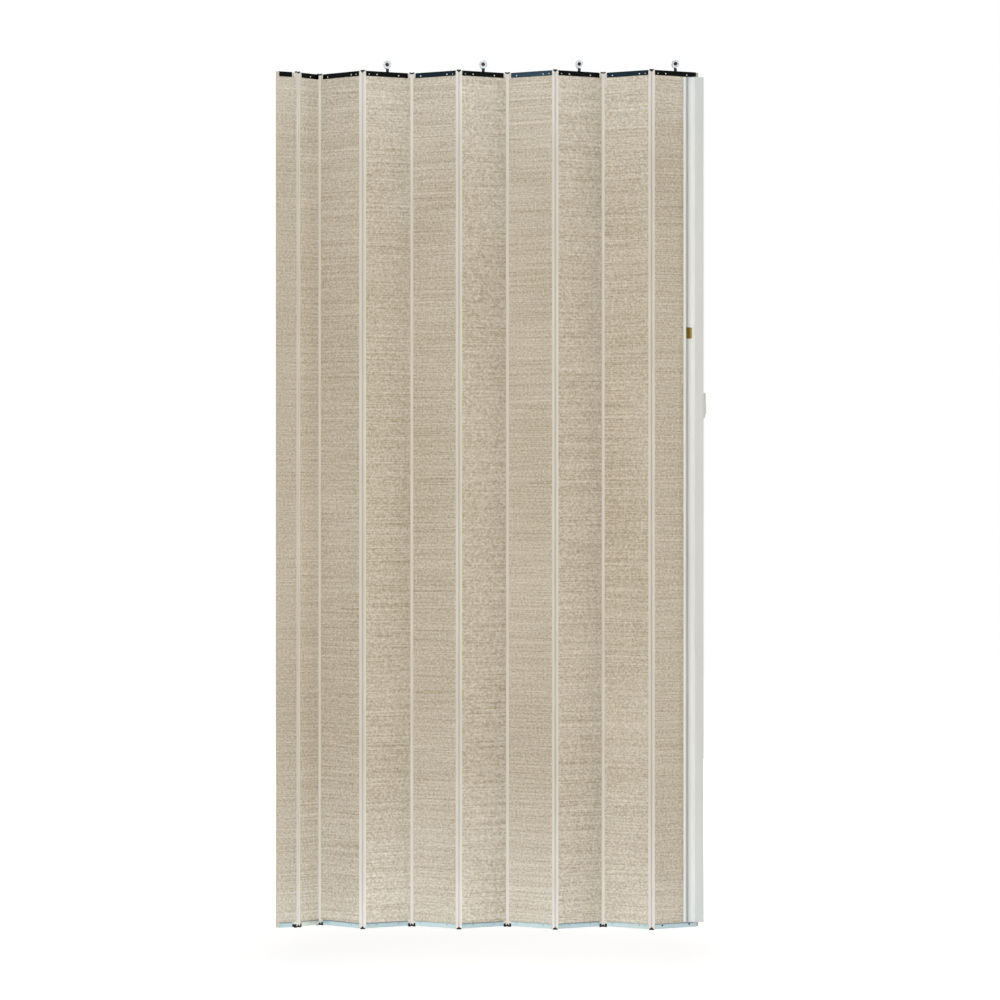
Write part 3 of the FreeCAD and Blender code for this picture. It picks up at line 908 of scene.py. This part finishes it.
for board, behind, before in zip(boards, [False] + humped, humped + [False]):
    ends = [ahead for ahead, found in ((False, behind), (True, before)) if found]
    if ends:
        wings = clip_wings(board, ends)
        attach(wings, board.body)
print("folds with wings:", sum(humped))

# %% [markdown]
# ## Rivets
# Small domed rivets hold the caps to the boards. Each is a profile turned round an axis: a low
# dome with a thin flange. All rivets of one cap are worked out in one array, on both faces of the
# board. They are bright on the upper caps, dull on the lower ones, and black on the last lower cap.

# %% Where the rivets sit
FAR_RIVETS = {"left": 14 * MM, "right": 23.5 * MM}
NEAR_RIVETS = {"left": 22 * MM, "right": 27 * MM}
OUTER_RIVET = 7.5 * MM
OUTER_SIZE = 0.75
LAST_FOOT_RIVETS = (18.6 * MM, 17.4 * MM)
LAST_FOOT_SIZE = 1.3


def rivet_places(board, cap_kind, start, end):
    """Place along the board and size of a cap's rivets: one by the far fold, two by the near fold.

    The half panel has the first one only, and the last lower cap two larger ones.
    """
    if board is boards[-1] and cap_kind == "bottom":
        return [(start + LAST_FOOT_RIVETS[0], LAST_FOOT_SIZE), (end - LAST_FOOT_RIVETS[1], LAST_FOOT_SIZE)]
    facing = "right" if board.slope > 0 else "left"
    far, near = FAR_RIVETS[facing], NEAR_RIVETS[facing]
    if board.name == "half":
        return [(end - far, 1.0)]
    if facing == "right":
        return [(end - far, 1.0), (start + near, 1.0), (start + OUTER_RIVET, OUTER_SIZE)]
    return [(start + far, 1.0), (end - near, 1.0), (end - OUTER_RIVET, OUTER_SIZE)]


print("rivets on a full top cap:", len(rivet_places(boards[2], "top", 0.0, 0.0)), "on each face")

# %% The head of a rivet
RIVET_RADIUS = 1.6 * MM
RIVET_HEIGHT = 1.1 * MM
DOME_STEPS = 5
DOME_SHARE = 0.86
FLANGE_SHARE = 0.22


def dome(size):
    """A rivet head about its own axis: radius falls as cos a and height grows as sin a, on a thin flange."""
    angle = np.linspace(0, math.pi / 2, DOME_STEPS)
    radius = np.concatenate([[1.0, 1.0], DOME_SHARE * np.cos(angle)])
    height = np.concatenate([[0.0, FLANGE_SHARE], FLANGE_SHARE + (1 - FLANGE_SHARE) * np.sin(angle)])
    return radius * RIVET_RADIUS * size, height * RIVET_HEIGHT * size


print("rings of a rivet head:", len(dome(1.0)[0]))

# %% Set the rivets
RIVET_LIFT = 4.4 * MM
RIVET_TURNS = 16
RIVET_CREASE = 50.0
BRIGHT_METAL = (0.40, 0.40, 0.38), (0.70, 0.70, 0.66)
BRIGHT_ROUGHNESS = (0.20, 0.40)
DULL_METAL = (0.17, 0.23, 0.25), (0.30, 0.38, 0.41)
DARK_METAL = (0.012, 0.012, 0.013), (0.040, 0.040, 0.042)
DULL_ROUGHNESS = (0.30, 0.50)

bright_rivet = sheet_metal("bright_rivet", BRIGHT_METAL, BRIGHT_ROUGHNESS)
dull_rivet = sheet_metal("dull_rivet", DULL_METAL, DULL_ROUGHNESS)
dark_rivet = sheet_metal("dark_rivet", DARK_METAL, DULL_ROUGHNESS)


def rivet_set(board, cap_kind, material):
    """Every head on a cap: centre + radius (cos t along, sin t up) + height outwards from the cap's face."""
    cap = corners_of(cap_kind + "_cap_" + board.name)
    reach, depth = cap[:, :2] @ board.along, cap[:, :2] @ board.across
    upper = cap_kind == "top"
    level = cap[:, 2].min() + RIVET_LIFT if upper else cap[:, 2].max() - RIVET_LIFT
    turn = np.linspace(0, 2 * math.pi, RIVET_TURNS, endpoint=False)
    points, faces = [], []
    for face_depth, side in ((depth.min(), -1), (depth.max(), 1)):
        for middle, size in rivet_places(board, cap_kind, reach.min(), reach.max()):
            radius, height = dome(size)
            out = face_depth + side * np.repeat(height[:, None], RIVET_TURNS, 1)
            plan = spot(board, middle + np.outer(radius, np.cos(turn)), out)
            rise = level - side * np.outer(radius, np.sin(turn))
            first = sum(len(p) for p in points)
            points.append(np.concatenate([plan, rise[..., None]], -1).reshape(-1, 3))
            faces += grid_faces(len(radius), RIVET_TURNS, True, first).tolist()
    name = "%s_rivets_%s" % (cap_kind, board.name)
    return new_piece(name, np.vstack(points), faces, material, crease=RIVET_CREASE)


for board in boards[1:]:
    foot_rivet = dark_rivet if board is boards[-1] else dull_rivet
    for cap_kind, material in (("top", bright_rivet), ("bottom", foot_rivet)):
        rivets = rivet_set(board, cap_kind, material)
        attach(rivets, board.body)
print("rivet sets:", 2 * (len(boards) - 1))

# %% [markdown]
# ## The brass plate
# A small blank brass plate sits on the neck of the post and follows its hollow. Its outline is a
# rounded rectangle, drawn as a superellipse, and rings of that outline step in over a soft edge
# to the middle.

# %% Stained brass
BRASS_YELLOW = (0.045, 0.028, 0.005), (0.220, 0.155, 0.036)
BRASS_ROUGHNESS = (0.45, 0.22)


def brass(name):
    """Stained brass: the dark stains are dull and the clean metal is glossy."""
    material, tree, shader, _ = cloudy(name, BRASS_YELLOW, BRASS_ROUGHNESS, Lumps=260.0, Draw=0.7, Specks=0.4)
    set_sockets(tree, shader, Metallic=1.0)
    return material


plate_brass = brass("brass")
print("material:", plate_brass.name)

# %% Fix the brass plate
PLATE_WIDTH = 13.0 * MM
PLATE_HEIGHT = 26.0 * MM
PLATE_THICKNESS = 0.7 * MM
PLATE_RIGHT = 2.2 * MM
PLATE_LEVEL = 388 * MM
PLATE_TURNS = 64
PLATE_SQUARENESS = 10.0
# Pairs for each ring: its share of the outline, and its share of the thickness.
PLATE_RINGS = [(1.0, 0.0), (1.0, 0.6), (0.97, 0.95), (0.93, 1.0),
               (0.7, 1.0), (0.5, 1.0), (0.3, 1.0), (0.0, 1.0)]
NOSE_LENGTH = 24.6 * MM
NECK_HOLLOW = 9.0 * MM


def brass_plate():
    """Rings of a superellipse, width cos^(2/n) t by height sin^(2/n) t, on the neck's hollow of radius R.

    The hollow rises by R - sqrt(R^2 - d^2) at the distance d past its start.
    """
    lead = boards[-1]
    post = corners_of("lead_post")
    reach, depth = post[:, :2] @ lead.along, post[:, :2] @ lead.across
    neck = depth[reach < reach.min() + MM].min()
    nose = reach.max() - NOSE_LENGTH
    t = np.linspace(0, 2 * math.pi, PLATE_TURNS, endpoint=False)
    bend = 2 / PLATE_SQUARENESS
    wide = np.sign(np.cos(t)) * np.abs(np.cos(t)) ** bend * PLATE_WIDTH / 2
    tall = np.sign(np.sin(t)) * np.abs(np.sin(t)) ** bend * PLATE_HEIGHT / 2
    scale, rise = np.array(PLATE_RINGS).T[..., None]
    place = nose - PLATE_RIGHT - PLATE_WIDTH / 2 + scale * wide
    past = np.clip(place - nose + NECK_HOLLOW, 0, None)
    hollow = NECK_HOLLOW - np.sqrt(NECK_HOLLOW ** 2 - past ** 2)
    plan = spot(lead, place, neck - hollow - rise * PLATE_THICKNESS)
    points = np.concatenate([plan, (PLATE_LEVEL + scale * tall)[..., None]], -1)
    faces = grid_faces(len(scale), PLATE_TURNS, True).tolist()
    return new_piece("brass_plate", points, faces, plate_brass)


plate = brass_plate()
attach(plate, boards[-1].body)
print("plate at", [round(v, 3) for v in plate.bound_box[0]])

# %% [markdown]
# ## The latch spring
# A small coil behind the latch's tail pushes the latch out, and is pressed together when the latch
# slides in. Its own solid is good enough; it would only have to shorten towards the back of its case,
# as bending it between case and latch would crowd its middle turns. It gets a mesh of its own, and
# its length along the last board and the middle of its fixed end are read.


def spring_axis():
    """The coil's length along the last board, and the middle of its fixed end."""
    lead = boards[-1]
    coil = corners_of("latch_spring")
    reach, depth = coil[:, :2] @ lead.along, coil[:, :2] @ lead.across
    back = spot(lead, reach.min(), (depth.min() + depth.max()) / 2)
    return reach.max() - reach.min(), (*back, (coil[:, 2].min() + coil[:, 2].max()) / 2)


spring_length, spring_back = spring_axis()
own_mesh(nodes["latch_spring"])

# %% [markdown]
# ## Floor and background
# The picture is plain white all round. The world is white for the camera and for mirrors, and a
# softer grey for light that falls on the door, so the background doesn't bleach the cloth. The
# floor glows towards the camera in the same way, less so near the door, where it takes its shadow.

# %% The white world
WHITE = (1.0, 1.0, 1.0, 1.0)
AMBIENT = 0.31


def seen_directly(tree):
    """1 for rays from the camera, from mirrors and through glass, else 0."""
    path = add_node(tree, "LightPath").outputs
    glossy = calc(tree, "MAXIMUM", path["Is Glossy Ray"], path["Is Transmission Ray"])
    return calc(tree, "MAXIMUM", path["Is Camera Ray"], glossy)


def white_world():
    """A world of strength 1 where it is seen directly, and AMBIENT where it lights the door."""
    world = bpy.data.worlds.new("white_studio")
    world.use_nodes = True
    tree = world.node_tree
    tree.nodes.clear()
    soft = add_node(tree, "Background", {"Color": WHITE, "Strength": AMBIENT})
    white = add_node(tree, "Background", {"Color": WHITE, "Strength": 1.0})
    mix = add_node(tree, "MixShader", {0: seen_directly(tree), 1: soft.outputs[0], 2: white.outputs[0]})
    add_node(tree, "OutputWorld", {"Surface": mix.outputs[0]})
    bpy.context.scene.world = world


white_world()
print("world:", bpy.context.scene.world.name)

# %% The floor
FLOOR_DROP = 0.12
FLOOR_SIZE = 24.0
FLOOR_LINES = 9
FLOOR_PAINT = (0.9, 0.9, 0.9, 1.0)
NEAR_GLOW = 0.46
FAR_GLOW = 0.75
GLOW_RANGE = (0.7, 2.5)


def floor_material():
    """White paint, plus a glow that grows with the level distance from the door's middle."""
    material, tree, shader, place = start_material("floor_white")
    tree.nodes.remove(shader)
    aside = add_node(tree, "VectorMath", {0: place, 1: (CAMERA_X, 0.0, 0.0)}, operation="SUBTRACT").outputs[0]
    level = add_node(tree, "VectorMath", {0: aside, 1: (1.0, 1.0, 0.0)}, operation="MULTIPLY").outputs[0]
    distance = add_node(tree, "VectorMath", {0: level}, operation="LENGTH").outputs["Value"]
    rise = spread_between(tree, distance, NEAR_GLOW, FAR_GLOW, *GLOW_RANGE)
    strength = calc(tree, "MULTIPLY", seen_directly(tree), rise)
    paint = add_node(tree, "BsdfDiffuse", {"Color": FLOOR_PAINT})
    glow = add_node(tree, "Emission", {"Color": WHITE, "Strength": strength})
    both = add_node(tree, "AddShader", {0: paint.outputs[0], 1: glow.outputs[0]})
    connect(tree, tree.nodes["Material Output"], "Surface", both.outputs[0])
    return material


def lay_floor():
    """A flat grid: x and y run over the floor's size, z is constant."""
    side = np.linspace(-FLOOR_SIZE / 2, FLOOR_SIZE / 2, FLOOR_LINES)
    x, y = np.meshgrid(side + CAMERA_X, side)
    points = np.stack([x, y, np.full_like(x, cad_low.z - FLOOR_DROP)], -1)
    faces = grid_faces(FLOOR_LINES, FLOOR_LINES, False).tolist()
    return new_piece("studio_floor", points, faces, floor_material())


lay_floor()
print("floor at z", round(cad_low.z - FLOOR_DROP, 3))

# %% [markdown]
# ## Light
# A tall lamp in front lights both sides of every fold. A soft lamp grazes the zigzag from the
# right and leaves the valleys a little darker, and a weak fill from the left keeps the other
# faces as bright. Another lamp lights the back. Two long cool lamps, close before the two ends,
# wash the cloth paler there, with a short one for the deeper first fold. All are lamps with area,
# so that shadows stay soft.

# %% Lamps
DOOR_MIDDLE = np.array([CAMERA_X, 0.0, 0.0])
WHITE_LIGHT = (1.0, 1.0, 1.0)
COOL_LIGHT = (0.62, 0.75, 1.0)
WASH_HEIGHT = 0.12
WASH_DISTANCE = 0.25


def soft_lamp(name, azimuth, distance, height, width, tall, power, colour=WHITE_LIGHT):
    """An area lamp on a circle round the door, turned to its upright axis. Azimuth 0 is front, 90 right."""
    turn = math.radians(azimuth)
    lamp = bpy.data.lights.new(name, "AREA")
    lamp.shape = "RECTANGLE"
    lamp.size, lamp.size_y = width, tall
    lamp.energy = power
    lamp.color = colour
    holder = bpy.data.objects.new(name, lamp)
    outward = np.array([math.sin(turn), -math.cos(turn), 0.0])
    holder.location = DOOR_MIDDLE + outward * distance + (0, 0, height)
    aim = holder.location.copy()
    aim.x, aim.z = aim.x - CAMERA_X, 0.0
    holder.rotation_euler = aim.to_track_quat("Z", "Y").to_euler()
    holder.visible_camera = False
    bpy.context.scene.collection.objects.link(holder)
    return holder


def wash_lamp(name, left, height, width, power):
    """A long cool lamp close before the door, moved left from its middle, that no metal mirrors."""
    holder = soft_lamp(name, 0.0, WASH_DISTANCE, height, width, WASH_HEIGHT, power, COOL_LIGHT)
    holder.location.x -= left
    holder.visible_glossy = False
    return holder


lamps = [
    soft_lamp("front_lamp", azimuth=-1.0, distance=2.4, height=-0.3, width=1.4, tall=4.0, power=53.3),
    soft_lamp("right_softbox", azimuth=80.0, distance=7.0, height=0.0, width=2.4, tall=3.0, power=152.0),
    soft_lamp("left_fill", azimuth=-60.0, distance=7.0, height=0.0, width=3.0, tall=3.0, power=70.0),
    soft_lamp("back_lamp", azimuth=165.0, distance=6.0, height=0.3, width=3.0, tall=2.6, power=215.0),
    wash_lamp("top_wash", left=0.1, height=1.05, width=1.3, power=0.95),
    wash_lamp("foot_wash", left=0.1, height=-1.02, width=1.3, power=0.95),
    wash_lamp("left_foot_wash", left=0.42, height=-1.02, width=0.4, power=0.36),
]
print("lamps:", len(lamps))
